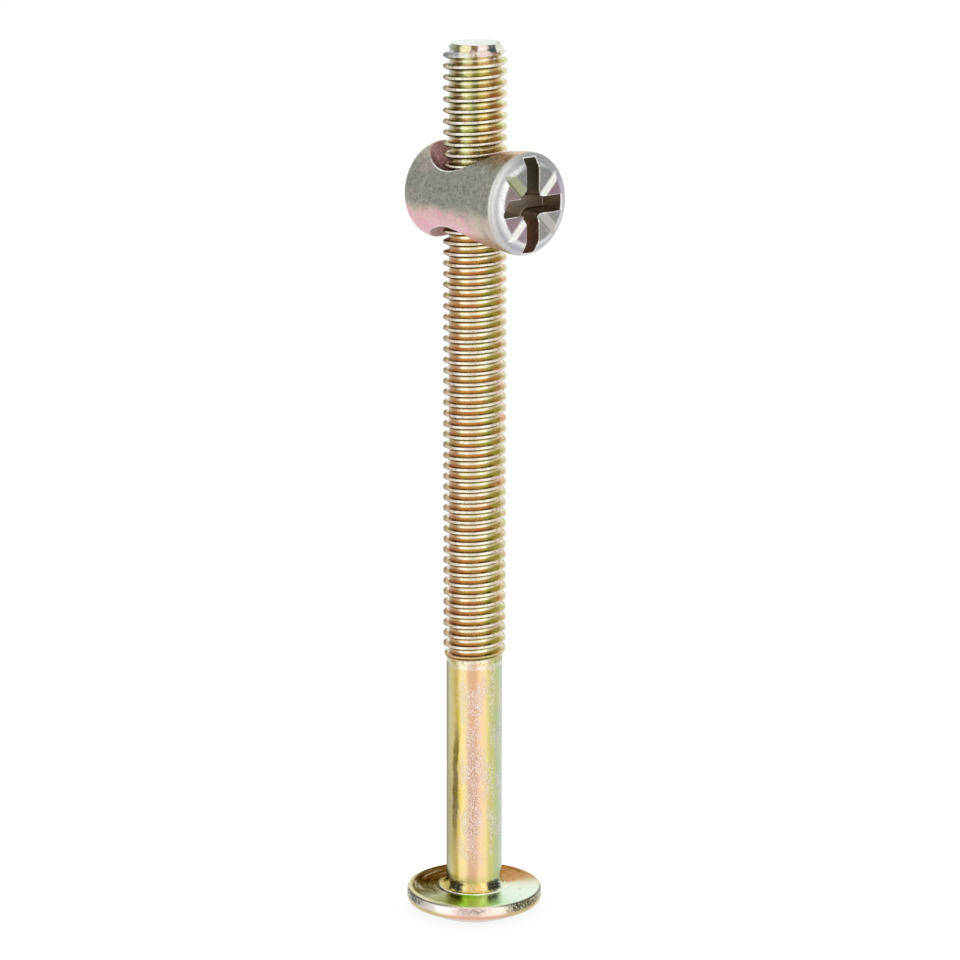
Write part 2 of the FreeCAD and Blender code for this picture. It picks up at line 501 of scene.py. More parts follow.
# %% Field of the whole nut
COLLAR_START = 6.2
COLLAR_FLARE = 1.0
BEVEL_X = 7.0
END_FACE_R = 3.5
BEVEL_ROUND = 0.22
FACE_ROUND = 0.1
PLAIN_ROUND = 0.9
MOUTH_ROUND = 0.1
SLOT_DROP = 0.1
SLOT_EDGE_ROUND = 0.07


def nut_field(points):
    """Distance field of the whole nut: bevelled barrel, less hole, slots and grooves."""
    x = points[..., 0]
    y = points[..., 1]
    z = points[..., 2] - NUT_Z
    from_axis = np.hypot(y, z)
    flare = smooth(COLLAR_START - COLLAR_FLARE, COLLAR_START, x)
    barrel_r = BARREL_R + (COLLAR_R - BARREL_R) * flare
    run = FACE_X - BEVEL_X
    drop = COLLAR_R - END_FACE_R
    bevel = ((x - FACE_X) * drop + (from_axis - END_FACE_R) * run) / np.hypot(run, drop)
    body = round_max(from_axis - barrel_r, bevel, BEVEL_ROUND)
    body = round_max(body, x - FACE_X, FACE_ROUND)
    body = round_max(body, PLAIN_X - x, PLAIN_ROUND)
    body = round_max(body, -mouth_field(x, y, z), MOUTH_ROUND)
    body = round_max(body, -recess_field(x, y, z + SLOT_DROP), SLOT_EDGE_ROUND)
    return round_max(body, -groove_field(x, y, z + SLOT_DROP), SLOT_EDGE_ROUND)


print("field at the middle of the recess", nut_field(np.array([[FACE_X - 1.0, 0.0, NUT_Z]])))

# %% [markdown]
# ## From field to mesh
#
# A surface net turns the field into quads. Space is cut into small cubes, each cube that the
# surface passes through gets one point, at the middle of where its edges are crossed, and each
# crossed edge gets one quad, from the four cubes round it. A few steps along the field's slope
# then bring every point onto the exact surface.

# %% Surface net


def surface_net(field, low, high, cell):
    """Points and quads of the zero level of a field between two corners, as whole arrays."""
    counts = np.ceil((high - low) / cell).astype(int) + 1
    axes = [low[axis] + cell * np.arange(counts[axis]) for axis in range(3)]
    values = field(np.stack(np.meshgrid(*axes, indexing="ij"), axis=3))
    inside = values < 0.0
    cubes = tuple(counts - 1)
    total = np.zeros(cubes + (3,))
    crossings = np.zeros(cubes)
    edges = []
    for axis in range(3):
        near = [slice(None)] * 3
        far = [slice(None)] * 3
        near[axis] = slice(None, -1)
        far[axis] = slice(1, None)
        starts = np.argwhere(inside[tuple(near)] != inside[tuple(far)])
        ends = starts.copy()
        ends[:, axis] += 1
        at_start = values[tuple(starts.T)]
        place = starts.astype(float)
        place[:, axis] += at_start / (at_start - values[tuple(ends.T)])
        others = [other for other in range(3) if other != axis]
        ring = []
        for back_one, back_two in ((0, 0), (1, 0), (1, 1), (0, 1)):
            cube = starts.copy()
            cube[:, others[0]] -= back_one
            cube[:, others[1]] -= back_two
            np.add.at(total, tuple(cube.T), place)
            np.add.at(crossings, tuple(cube.T), 1.0)
            ring.append(np.ravel_multi_index(tuple(cube.T), cubes))
        quads = np.stack(ring, axis=1)
        outward = (at_start < 0.0) != (axis == 1)
        quads[outward] = quads[outward][:, ::-1]
        edges.append(quads)
    used = np.flatnonzero(crossings.ravel() > 0)
    number = np.full(crossings.size, -1)
    number[used] = np.arange(len(used))
    points = low + cell * total.reshape(-1, 3)[used] / crossings.ravel()[used][:, None]
    return points, number[np.concatenate(edges)]


corner = np.full(3, 1.5)
ball = surface_net(lambda place: np.linalg.norm(place, axis=3) - 1.0, -corner, corner, 0.5)[0]
print("a ball of radius 1 in cubes of 0.5 gets", len(ball), "points")

# %% Even spacing
EVENING = 0.4
LEAST_SLOPE = 0.05
LONGEST_MOVE = 0.05


def field_slope(field, points, step=0.01):
    """Gradient of a field by central differences, one row for each point."""
    slopes = np.zeros_like(points)
    for axis in range(3):
        shift = np.zeros(3)
        shift[axis] = step
        slopes[:, axis] = (field(points + shift) - field(points - shift)) / (2.0 * step)
    return slopes


def settle(field, points, faces, rounds):
    """Evens out the spacing of the points and brings them back onto the surface, a few times."""
    pairs = np.concatenate([faces[:, [side, (side + 1) % 4]] for side in range(4)])
    for _ in range(rounds):
        middle = np.zeros_like(points)
        for axis in range(3):
            middle[:, axis] = np.bincount(pairs[:, 0], points[pairs[:, 1], axis], len(points))
        middle /= np.bincount(pairs[:, 0], minlength=len(points))[:, None]
        points = points + EVENING * (middle - points)
        for _ in range(2):
            slopes = field_slope(field, points)
            steep = np.maximum((slopes ** 2).sum(axis=1), LEAST_SLOPE)
            move = -field(points)[:, None] * slopes / steep[:, None]
            points = points + np.clip(move, -LONGEST_MOVE, LONGEST_MOVE)
    return points


on_barrel = np.array([[0.0, BARREL_R, NUT_Z]])
print("slope of the field at the side of the barrel", field_slope(nut_field, on_barrel).round(3))

# %% Nut
CELL = 0.098
MARGIN = 1.7 * CELL
WEAR_REACH = 0.14


def make_nut():
    """The nut's mesh, with numbers on its points for its finish.

    Wear is high where the metal bulges: it compares the field a short way under the surface with
    the distance walked. The others mark what each point belongs to.
    """
    low = np.array([PLAIN_X, -COLLAR_R, NUT_Z - COLLAR_R]) - MARGIN
    high = np.array([FACE_X, COLLAR_R, NUT_Z + COLLAR_R]) + MARGIN
    points, faces = surface_net(nut_field, low, high, CELL)
    points = settle(nut_field, points, faces, 3)
    slopes = field_slope(nut_field, points)
    normals = slopes / np.linalg.norm(slopes, axis=1)[:, None]
    under = nut_field(points - normals * WEAR_REACH)
    x, y, z = points[:, 0], points[:, 1], points[:, 2] - NUT_Z
    numbers = {
        "wear": np.clip(1.0 + under / WEAR_REACH, 0.0, 1.0),
        "mouth": 1.0 - smooth(0.02, 0.1, np.abs(mouth_field(x, y, z))),
        "recess": 1.0 - smooth(0.0, 0.1, recess_field(x, y, z + SLOT_DROP)),
        "groove": 1.0 - smooth(0.0, 0.08, groove_field(x, y, z + SLOT_DROP))}
    return mesh_object("dressed_nut", points, faces, numbers=numbers)


nut = make_nut()
print("nut", len(nut.data.vertices), "points", len(nut.data.polygons), "faces")

# %% [markdown]
# ## Short words for nodes
#
# A finish is a tree of nodes, and written out in full it takes more lines than the shapes do. This
# helper gives each common node a short word and hands back its output, so that a finish reads as a
# recipe from top to bottom: a base colour, and layers painted over it through masks.

# %% Words for numbers and masks


def tint(code):
    """Linear colour from the six-digit code that a colour picker shows."""
    parts = np.array([int(code[start:start + 2], 16) for start in (0, 2, 4)]) / 255.0
    linear = np.where(parts <= 0.04045, parts / 12.92, ((parts + 0.055) / 1.055) ** 2.4)
    return (*linear.tolist(), 1.0)


class Nodes:
    """Short words for one node tree. Each word adds a node and gives back its output.

    A six-digit code stands for its colour, and a tuple that begins with a field for a mask:
    (field, low, high) rises from 0 at low to 1 at high, and (field, low, high, soft) is 1 from low
    to high, with soft ends.
    """

    def __init__(self, tree):
        tree.nodes.clear()
        self.tree = tree
        self.place = None

    def add(self, kind, **settings):
        node = self.tree.nodes.new(kind)
        for name, value in settings.items():
            setattr(node, name, value)
        return node

    def tell(self, what):
        print(what, "done,", len(self.tree.nodes), "nodes so far")

    def feed(self, socket, value):
        if isinstance(value, str):
            value = tint(value)
        if isinstance(value, tuple) and isinstance(value[0], bpy.types.NodeSocket):
            value = self.step(*value) if len(value) == 3 else self.window(*value)
        if isinstance(value, bpy.types.NodeSocket):
            self.tree.links.new(value, socket)
        else:
            socket.default_value = value

    def fed(self, kind, *values, **settings):
        """A new node's output, with its first sockets fed in order."""
        node = self.add(kind, **settings)
        for socket, value in zip(node.inputs, values):
            self.feed(socket, value)
        return node.outputs[0]

    def named(self, kind, values):
        """A new node's output, with sockets fed by name."""
        node = self.add(kind)
        for name, value in values.items():
            self.feed(node.inputs[name], value)
        return node.outputs[0]

    def math(self, operation, *values):
        return self.fed("ShaderNodeMath", *values, operation=operation)

    def product(self, *values):
        """All values, multiplied in order."""
        result = values[0]
        for value in values[1:]:
            result = self.math("MULTIPLY", result, value)
        return result

    def linear(self, value, factor, offset):
        """Value times factor, plus offset."""
        return self.math("MULTIPLY_ADD", value, factor, offset)

    def either(self, first, second):
        """The larger of two masks."""
        return self.math("MAXIMUM", first, second)

    def centred(self, noise):
        """A noise moved to lie about zero."""
        return self.math("SUBTRACT", noise, 0.5)

    def length(self, x, y):
        """Square root of x squared plus y squared."""
        return self.math("SQRT", self.math("ADD", self.product(x, x), self.product(y, y)))

    def step(self, value, low, high):
        """0 at low, 1 at high and smooth between them: 3t^2 - 2t^3."""
        return self.fed("ShaderNodeMapRange", value, low, high, interpolation_type="SMOOTHSTEP")

    def window(self, value, low, high, soft):
        """A rise about low less a rise about high."""
        rise = self.step(value, low - soft, low + soft)
        return self.math("SUBTRACT", rise, self.step(value, high - soft, high + soft))


print("tint of mid grey", tint("808080"))

# %% Words for colours and places
WHITE = (1.0, 1.0, 1.0, 1.0)


class Finish(Nodes):
    """Words that mix colours, read places on the piece and end in a material."""

    def blend(self, share, first, second):
        """The first colour, moved to the second by the share."""
        node = self.add("ShaderNodeMix", data_type="RGBA")
        for index, value in zip((0, 6, 7), (share, first, second)):
            self.feed(node.inputs[index], value)
        return node.outputs[2]

    def paint(self, base, *layers):
        """The base with layers over it in turn: a colour, and masks that are multiplied."""
        for colour, *masks in layers:
            base = self.blend(self.product(*masks), base, colour)
        return base

    def ramp(self, value, stops):
        """The colour at a value. The ramp ends in its first colour, unless it has a stop at 1."""
        stops = {**stops, 1.0: stops.get(1.0, stops[0.0])}
        node = self.add("ShaderNodeValToRGB")
        elements = node.color_ramp.elements
        while len(elements) < len(stops):
            elements.new(0.5)
        for element, (position, code) in zip(elements, stops.items()):
            element.position = position
            element.color = tint(code)
        self.feed(node.inputs[0], value)
        return node.outputs[0]

    def noise(self, scale, detail=2.0, roughness=0.5, warp=0.0, vector=None):
        """Noise of the place in millimetres, or of a vector. Three scales stretch it."""
        vector = self.place_mm() if vector is None else vector
        if isinstance(scale, tuple):
            vector, scale = self.stretch(vector, scale), 1.0
        return self.named("ShaderNodeTexNoise", {
            "Vector": vector, "Scale": scale, "Detail": detail, "Roughness": roughness,
            "Distortion": warp})

    def stretch(self, vector, by):
        return self.fed("ShaderNodeVectorMath", vector, by, operation="MULTIPLY")

    def parts(self, vector):
        node = self.add("ShaderNodeSeparateXYZ")
        self.feed(node.inputs[0], vector)
        return tuple(node.outputs)

    def number(self, title):
        return self.add("ShaderNodeAttribute", attribute_name=title).outputs["Fac"]

    def place_mm(self):
        """Object coordinates in millimetres, made once for each tree."""
        if self.place is None:
            coordinates = self.add("ShaderNodeTexCoord").outputs["Object"]
            self.place = self.stretch(coordinates, (1.0 / MM, 1.0 / MM, 1.0 / MM))
        return self.place

    def turn(self, x, y, zero):
        """Share of a turn: half plus the angle of (x, y) from zero, over a whole turn."""
        return self.math("FRACT", self.linear(
            self.math("ARCTAN2", y, x), 1.0 / (2.0 * np.pi), 0.5 - zero / (2.0 * np.pi)))

    def relief(self, height, distance_mm, strength):
        """The normal, tilted against the slope of the height."""
        return self.named("ShaderNodeBump", {
            "Strength": strength, "Distance": distance_mm * MM, "Height": height})

    def metal(self, colour, roughness, normal, edge=WHITE):
        shader = self.named("ShaderNodeBsdfPrincipled", {
            "Base Color": colour, "Specular Tint": edge, "Metallic": 1.0, "Roughness": roughness,
            "Normal": normal})
        self.feed(self.add("ShaderNodeOutputMaterial").inputs["Surface"], shader)


def new_finish(name):
    """Material and the short words for its node tree."""
    material = bpy.data.materials.new(name)
    material.use_nodes = True
    return material, Finish(material.node_tree)


print("words", [word for word in vars(Finish) if word[0] != "_"])

# %% [markdown]
# ## Stage and light
#
# The photograph has a white surround, and bright metal is little more than a mirror of the room. A
# plain white room would leave the bolt flat and pale. So the camera sees only white, while the
# metal sees a ring of light: two tall soft boxes to the left and right of the camera, and dimmer
# gaps between them, as a small photo studio has. The metal picks them up as upright bands. The
# floor is hidden from mirror rays, so that the ring carries on below the horizon.

# %% Floor and world
RING = {
    0.0: "f2f2f2", 0.07: "f0f0f0", 0.12: "cfcfcf", 0.29: "cccccc", 0.325: "ffffff", 0.405: "ffffff",
    0.435: "dcdcdc", 0.52: "dcdcdc", 0.545: "ffffff", 0.645: "ffffff", 0.675: "d1d1d1",
    0.79: "d4d4d4", 0.87: "f0f0f0"}
RING_STRENGTH = 1.12
FLOOR_HALF = 3000.0
FLOOR_COLOUR = (0.97, 0.97, 0.97, 1.0)
FLOOR_GLOW = 1.06
GLOW_SHARE = 0.8


def make_floor():
    """White floor with a soft shadow: part of what the camera sees is the floor's own light."""
    corners = FLOOR_HALF * np.array([[-1, -1, 0.0], [1, -1, 0.0], [1, 1, 0.0], [-1, 1, 0.0]])
    floor = mesh_object("floor", corners, np.array([[0, 1, 2, 3]]))
    floor.visible_glossy = False
    floor.visible_shadow = False
    material, nodes = new_finish("white_floor")
    ray = nodes.add("ShaderNodeLightPath").outputs["Is Camera Ray"]
    paint = nodes.named("ShaderNodeBsdfDiffuse", {"Color": FLOOR_COLOUR})
    glow = nodes.named("ShaderNodeEmission", {"Strength": FLOOR_GLOW})
    mix = nodes.fed("ShaderNodeMixShader", nodes.product(ray, GLOW_SHARE), paint, glow)
    nodes.feed(nodes.add("ShaderNodeOutputMaterial").inputs["Surface"], mix)
    floor.data.materials.append(material)
    return floor


def make_world():
    """White to the camera. To the metal, a ring of soft boxes and gaps under a bright ceiling."""
    world = bpy.data.worlds.new("surround")
    bpy.context.scene.world = world
    world.use_nodes = True
    nodes = Finish(world.node_tree)
    x, y, z = nodes.parts(nodes.add("ShaderNodeTexCoord").outputs["Generated"])
    ring = nodes.ramp(nodes.turn(x, y, FRONT), RING)
    room = nodes.paint(ring, ("e6e2e0", (z, 0.6, 0.9)), ("dedede", (z, -0.35, -0.65)))
    ray = nodes.add("ShaderNodeLightPath").outputs["Is Camera Ray"]
    light = nodes.named("ShaderNodeBackground", {"Color": room, "Strength": RING_STRENGTH})
    white = nodes.named("ShaderNodeBackground", {"Color": WHITE})
    mix = nodes.fed("ShaderNodeMixShader", ray, light, white)
    nodes.feed(nodes.add("ShaderNodeOutputWorld").inputs["Surface"], mix)
    return world


floor = make_floor()
world = make_world()
print("floor and world", floor.name, world.name)

# %% [markdown]
# ## Colours of the yellow zinc
#
# Yellow zinc is bright metal under a clear film that is a fraction of a micrometre thick. The film
# colours the light as an oil slick does, and its thickness drifts as the bath drains off, so gold,
# peach, olive, green and pale blue run in upright bands. A thin-film shader could work this out
# from a thickness, but the bands are easier to place as colour ramps that read the angle round
# the bolt: 0.5 faces the camera, 0.25 is its left side and 0.75 its right. The ramps also hold
# painted reflections of the room: their pale and dark bands, and the bright middles of the crest
# and root lands, are light and shade painted into the colour and set for the camera's side. The
# ramps of the thread look paler than the thread does, since light bounces about three times
# between the flanks, and each bounce multiplies by the colour again.

# %% Colour ramps of the bolt
# Shank: film colours, with painted reflections in the pale and dark bands.
SHANK_BANDS = {
    0.0: "c8b684", 0.06: "ecd498", 0.12: "dfb08c", 0.17: "c8c898", 0.22: "c4cdb4", 0.28: "f2f4de",
    0.33: "f8f2c4", 0.36: "f4e498", 0.39: "e0c860", 0.406: "e8d070", 0.42: "f0de98",
    0.455: "f4dca4", 0.475: "f8c89c", 0.515: "f6c498", 0.535: "f6d0a4", 0.57: "eed69c",
    0.59: "f0e490", 0.615: "ece898", 0.65: "ccdca8", 0.69: "bccab4", 0.73: "c0c8c4", 0.79: "d8cfa0",
    0.86: "e8c68c", 0.93: "dcae90"}
# Flanks near the tip: film colours with painted reflections, dark olive columns between pale ones.
TIP_FLANKS = {
    0.0: "d8cca4", 0.12: "e4d0a0", 0.25: "f0f0e4", 0.34: "e0dcc4", 0.368: "948a58", 0.402: "948a58",
    0.42: "eef0c8", 0.465: "f2eebc", 0.482: "bcb478", 0.508: "bab078", 0.525: "ecdc98",
    0.575: "ecd898", 0.6: "ccac70", 0.64: "c8a068", 0.675: "ccbc80", 0.72: "f0ecc0", 0.85: "dcc89c"}
# Flanks in the middle: film colours with painted reflections, palest at the left.
MIDDLE_FLANKS = {
    0.0: "dcc8a0", 0.12: "e4c098", 0.25: "f6ecdc", 0.3: "f2dcc0", 0.35: "e8bc94", 0.42: "ecc48c",
    0.48: "eac088", 0.53: "eac88c", 0.575: "d8d088", 0.64: "d4cc80", 0.69: "ccb682", 0.75: "f0e8d0",
    0.88: "d8c494"}
# Crest lands: pale metal with a painted highlight.
CREST_LANDS = {
    0.0: "f0dcd0", 0.27: "fffaf0", 0.33: "fff0dc", 0.38: "fff2dc", 0.42: "fffce8", 0.5: "fff4de",
    0.56: "fffae6", 0.64: "ffead8", 0.72: "fcf4e8"}
# Root lands: golden brown, with a painted highlight near white from 0.41 to 0.57.
ROOT_LANDS = {
    0.0: "dccaa4", 0.3: "c8a880", 0.375: "d4b080", 0.41: "fff8e0", 0.5: "fffae4", 0.57: "fff8e0",
    0.63: "d8c890", 0.72: "d4c4a0"}
# Top of the head: film colours with painted reflections of the shank and the room.
HEAD_TOP = {
    0.0: "a48464", 0.1: "8c785c", 0.2: "887860", 0.29: "969074", 0.37: "c4c8a8", 0.435: "b0b880",
    0.47: "b4e880", 0.505: "bcf094", 0.54: "d0f4c0", 0.6: "e4f4e0", 0.68: "f0f8ec", 0.76: "ecf0dc",
    0.81: "d8b890", 0.9: "c49870", 1.0: "b08860"}
# Rim: film colours with a painted highlight, nearly white at the front.
RIM = {
    0.0: "d8c8b0", 0.12: "c8b88c", 0.22: "d4c4a4", 0.3: "ece4c8", 0.36: "fffaee", 0.42: "fffcf2",
    0.47: "fae0d8", 0.55: "fcecdc", 0.6: "fff8dc", 0.65: "d0cca0", 0.72: "a4a48c", 0.8: "d0c4a8",
    0.9: "e4ccb8"}
# Chamfer: painted reflections of the room, in broad light and dark blocks.
CHAMFER = {
    0.0: "d8ccb0", 0.27: "d4dcd0", 0.35: "a0a488", 0.385: "7c7848", 0.41: "f4f0c0", 0.465: "f6f0c4",
    0.48: "8c7454", 0.505: "947c60", 0.52: "f8e8e0", 0.57: "f6e4dc", 0.585: "50585a",
    0.63: "4c5458", 0.645: "f0ecdc", 0.75: "e0e0d0"}
# First turn of the thread: painted reflections of the room, in broad blocks.
FIRST_TURN = {
    0.0: "e0d4bc", 0.27: "d0d4dc", 0.33: "989cb0", 0.39: "a4a8b4", 0.415: "f0f4e4", 0.465: "f2f0e0",
    0.485: "c0a080", 0.51: "b89c80", 0.525: "f8e0dc", 0.58: "f4dcd4", 0.6: "b08878", 0.65: "a88c74",
    0.68: "ecdcc4", 0.75: "e8e4dc"}
print("ramps of", len(SHANK_BANDS), len(TIP_FLANKS), len(HEAD_TOP), "colours")

# %% [markdown]
# ## Yellow zinc: the shared fields
#
# The finish picks a ramp by the place on the bolt: rim, head, neck, shank, thread or tip. All of
# them read a few shared fields: the share of a turn from the back, the distance from the axis, and
# some noises. A slow noise bends every band, and a quicker one frays its edges, since no real band
# is straight.

# %% Fields of the bolt's finish
# Around is the share of a turn from the back. Bent is around with drift and fray added, and torn
# is around moved by the coarse noise.
bolt_finish, film = new_finish("yellow_zinc")
x, y, z = film.parts(film.place_mm())
radius = film.length(x, y)
around = film.turn(x, y, FRONT)
drift = film.centred(film.noise((0.35, 0.35, 0.14), 3.0))
fray = film.centred(film.noise((2.6, 2.6, 0.9), 5.0, 0.65))
bent = film.math("FRACT", film.linear(drift, 0.06, film.linear(fray, 0.05, around)))
fine = film.noise(9.0, 4.0, 0.65)
coarse = film.noise(3.2, 4.0, 0.7)
patches = film.noise((0.9, 0.9, 0.3), 3.0, 0.6)
torn = film.linear(film.centred(coarse), 0.1, around)
film.tell("shared fields")

# %% [markdown]
# ## Yellow zinc: the shank
#
# The shank shows the film best, as upright bands from pale green over gold to peach, with painted
# reflections of the room among them. The bath has left marks on it: clouds, and patches etched to
# mauve with pale flecks. An olive shadow down its left side is painted shade, and a thin dark line
# beside it is a painted reflection.

# %% Shank
# Bands by the angle with painted reflections, under clouds, a painted shadow, a painted dark
# reflection line, etched patches and pits.
# Lean slants the painted dark reflection line a little with height.
lean = film.linear(film.math("SUBTRACT", z, 12.0), -0.0016, bent)
middle = film.product((around, 0.455, 0.535, 0.02), (z, 7.5, 17.0, 1.5))
spared = film.linear((around, 0.18, 0.42, 0.04), -0.8, 1.0)
etched = film.product((patches, 0.46, 0.56), spared)
etched = film.product(film.either(etched, film.product(middle, 0.8)), (z, 3.8, 6.5))
mauve = film.product(etched, (fine, 0.56, 0.4))
flecks = film.product(etched, (fine, 0.51, 0.57))
pits = film.product((film.noise(5.0, 3.0, 0.7), 0.64, 0.72), (patches, 0.54, 0.44))
shank = film.paint(
    film.ramp(bent, SHANK_BANDS),
    ("f0d8a8", (film.noise((1.1, 1.1, 0.4), 3.0), 0.5, 0.66), 0.35),
    # Painted shade: an olive shadow down the left side.
    ("c0ae68", (bent, 0.31, 0.392, 0.012), (z, 5.0, 14.5, 2.0), 0.4),
    # Painted reflection: a thin dark line at the left, broken by a noise.
    ("645218", (lean, 0.358, 0.392, 0.008), (z, 8.0, 18.0, 2.5), (fine, 0.3, 0.48), 0.8),
    ("b8949c", mauve, film.linear(middle, 0.35, 0.3)),
    ("fff4f4", flecks, 0.95),
    ("7c7040", pits, 0.55))
film.tell("shank")

# %% [markdown]
# ## Yellow zinc: the thread
#
# The number stored on the mesh as crest is 1 on a crest and 0 at a root, and facing is above 0 on
# the flanks that face the tip. With both, each land and flank gets a tone of its own. The lower
# flank gets painted shade just under the crest, where it sees only the thread below it. The crest
# and root lands carry painted highlights, and the flanks painted reflections in upright columns.

# %% Thread
# Flank, root and crest colours by the angle, with painted reflections and highlights, joined by
# how far up the thread a point is.
crest = film.number("crest")
near_tip = film.step(film.linear(drift, 16.0, z), 62.0, 74.0)
blots = film.noise((0.45, 0.45, 1.2), 3.0, 0.6)
# Painted shade on the lower flank just under the crest, weaker at the sides.
under_crest = film.product((crest, 0.24, 0.4), (film.number("facing"), -0.1, -0.4))
sides = film.either((around, 0.2, 0.31, 0.03), (around, 0.625, 0.8, 0.03))
flank = film.paint(
    film.blend(near_tip, film.ramp(bent, MIDDLE_FLANKS), film.ramp(bent, TIP_FLANKS)),
    ("e8a47c", (blots, 0.53, 0.64), 0.7),
    ("d0d080", (blots, 0.45, 0.35), 0.7),
    ("a08860", (fine, 0.46, 0.34), 0.25),
    ("342a2c", under_crest, film.linear(sides, -0.75, 0.95)))
# Root lands with their painted highlight, blended to the tip's flank colours near the tip.
root = film.paint(film.ramp(bent, ROOT_LANDS), (film.ramp(bent, TIP_FLANKS), near_tip, 0.6))
# Breaks in the painted crest highlight: the lands are dimmed to brown in patches, most near 0.36
# and 0.64 of a turn.
crest_highlight_breaks = film.either((around, 0.32, 0.4, 0.02), (around, 0.6, 0.68, 0.02))
land = film.paint(
    film.ramp(bent, CREST_LANDS),
    ("b08068", (coarse, 0.5, 0.62), film.linear(crest_highlight_breaks, 0.3, 0.4)),
    ("f4d0d8", (film.noise((0.7, 0.7, 1.5)), 0.53, 0.62), 0.3))
thread = film.paint(flank, (root, (crest, 0.1, 0.03)), (land, (crest, 0.93, 0.99)))
film.tell("thread")

# %% [markdown]
# ## Yellow zinc: the head
#
# The upper face of the head carries a painted reflection of the shank and faint turning marks: a
# noise stretched along circles. The neck is yellow, with painted dark reflections in the shape of
# sooty patches, and a painted highlight along the pale lip at its foot.
# The rim carries painted highlight bands, nearly white at the front; it is specked at both sides
# and streaked where it was rubbed, with painted shade along its rounded top edge, and its lower
# bevel is yellow and peach.

# %% Top of the head
# Reflections by the angle, with light and dark arcs from a noise that runs along circles.
sweep = film.fed("ShaderNodeCombineXYZ", film.product(radius, 2.4),
                 film.math("DIVIDE", film.product(x, 1.6), radius),
                 film.math("DIVIDE", film.product(y, 1.6), radius))
arcs = film.noise(1.0, 5.0, 0.7, 0.4, vector=sweep)
marked = film.linear((around, 0.44, 0.8, 0.05), -0.75, 1.0)
# Darker arcs over the left side of the face.
dark_left_arcs = film.product((around, 0.16, 0.34, 0.05), (arcs, 0.54, 0.42))
pale_edge = film.product((radius, 5.72, 6.0), (around, 0.18, 0.4, 0.04))
top = film.paint(
    film.ramp(film.math("FRACT", film.linear(drift, 0.1, around)), HEAD_TOP),
    ("f4ead4", (arcs, 0.54, 0.66), marked, 0.5),
    ("2c2014", (arcs, 0.44, 0.34), marked, 0.6),
    ("1c140c", dark_left_arcs, 0.3),
    ("f0ecc4", pale_edge, 0.8))
film.tell("top of the head")

# %% Neck
# Yellow with peach, olive and pale green parts, a painted highlight along the pale lip, and painted
# dark reflections in the shape of sooty patches.
# Painted dark reflections: patches at both sides of the front and one at the back, mottled by a
# noise.
dark_reflection_patches = film.either((torn, 0.338, 0.432, 0.012), (torn, 0.578, 0.676, 0.012))
dark_reflection_patches = film.either(dark_reflection_patches, (torn, 0.03, 0.1, 0.02))
tall = film.linear(film.centred(coarse), 0.9, z)
dark_reflection_patches = film.product(dark_reflection_patches, (tall, HEAD_H + 0.16, HEAD_H + 1.15, 0.12),
                    (film.noise(7.0, 4.0, 0.8), 0.32, 0.43))
neck = film.paint(
    film.blend((coarse, 0.38, 0.62), "f0d474", "fff8bc"),
    ("e8b478", (torn, 0.455, 0.55, 0.02), 0.5),
    ("e0cc6c", (torn, 0.3, 0.38, 0.02), 0.6),
    ("dcecd4", (around, 0.595, 0.635), 0.85),
    # Painted highlight along the lip at the foot of the neck.
    ("fff8dc", (z, HEAD_H + 0.15, HEAD_H + 0.09)),
    ("14100c", dark_reflection_patches, 0.95))
film.tell("neck")

# %% Rim
# Painted highlight bands with specks, streaks and painted shade along the top edge, down to the
# bevel and the outer face.
specks = film.either((torn, 0.26, 0.36, 0.02), (torn, 0.585, 0.69, 0.015))
lifted = film.linear((around, 0.54, 0.62), 0.3, z)
specks = film.product(specks, (lifted, 1.4, 2.45, 0.1), (z, 2.17, 2.08),
                      (film.noise(7.0, 4.0, 0.75), 0.42, 0.53))
streaks = film.noise(2.4, 3.0, 0.6, vector=film.stretch(film.place_mm(), (1.0, 1.0, 3.4)))
rubbed = film.product((torn, 0.465, 0.53, 0.03), (z, 1.5, 2.0, 0.12), (streaks, 0.42, 0.56),
                      (fine, 0.28, 0.5))
lower = film.paint(film.blend((torn, 0.43, 0.58, 0.04), "dcd090", "f4c4a8"),
                   ("f0b8b0", (coarse, 0.46, 0.6), 0.6))
# Painted shade along the rounded top edge of the rim, at both sides, broken by a noise.
top_edge_shade = film.either((torn, 0.27, 0.45, 0.03), (torn, 0.56, 0.78, 0.03))
top_edge_shade = film.product(top_edge_shade, (z, 2.02, 2.15, 0.03), (fine, 0.32, 0.45))
rim = film.paint(
    film.ramp(bent, RIM),
    ("a08868", (fine, 0.55, 0.75), 0.35),
    ("24201c", specks, 0.95),
    ("3c3830", rubbed, 0.65),
    (lower, (z, 1.5, 1.15)),
    ("342c20", top_edge_shade, 0.8))
under = film.paint(film.blend((patches, 0.4, 0.62), "9ec4c4", "b8b494"),
                   ("b88c40", (radius, 2.75, 2.5)))
head = film.blend((z, 0.25, 0.7), under, rim)
film.tell("rim")

# %% [markdown]
# ## Yellow zinc: the tip and the whole
#
# The chamfer and the first turn of the thread carry painted reflections of the room in a few broad
# blocks. The parts are joined by height, from the outer face of the head up to the tip, and the
# ring where the thread runs out is scuffed. Flecks are rougher than the film, and the flecks and
# the painted dark reflection patches of the neck stand a little proud of it.

# %% Tip
# The first turn, the chamfer and the end face; the first two are painted reflections in blocks. A
# smooth noise moves and smears the blocks.
high = film.linear(fray, 0.5, z)
smear = film.noise(2.2, 1.0)
ragged = film.math("FRACT", film.linear(film.centred(smear), 0.05, around))
first = film.blend((smear, 0.78, 0.44), "f4f0e8", film.ramp(ragged, FIRST_TURN))
chamfer = film.blend((smear, 0.84, 0.48), "f6f0dc", film.ramp(ragged, CHAMFER))
end = film.paint(film.blend((patches, 0.42, 0.6), "ecebee", "e2f0e0"),
                 ("747860", (radius, 2.02, 2.1), (around, 0.66, 0.96, 0.03), 0.9))
film.tell("tip")

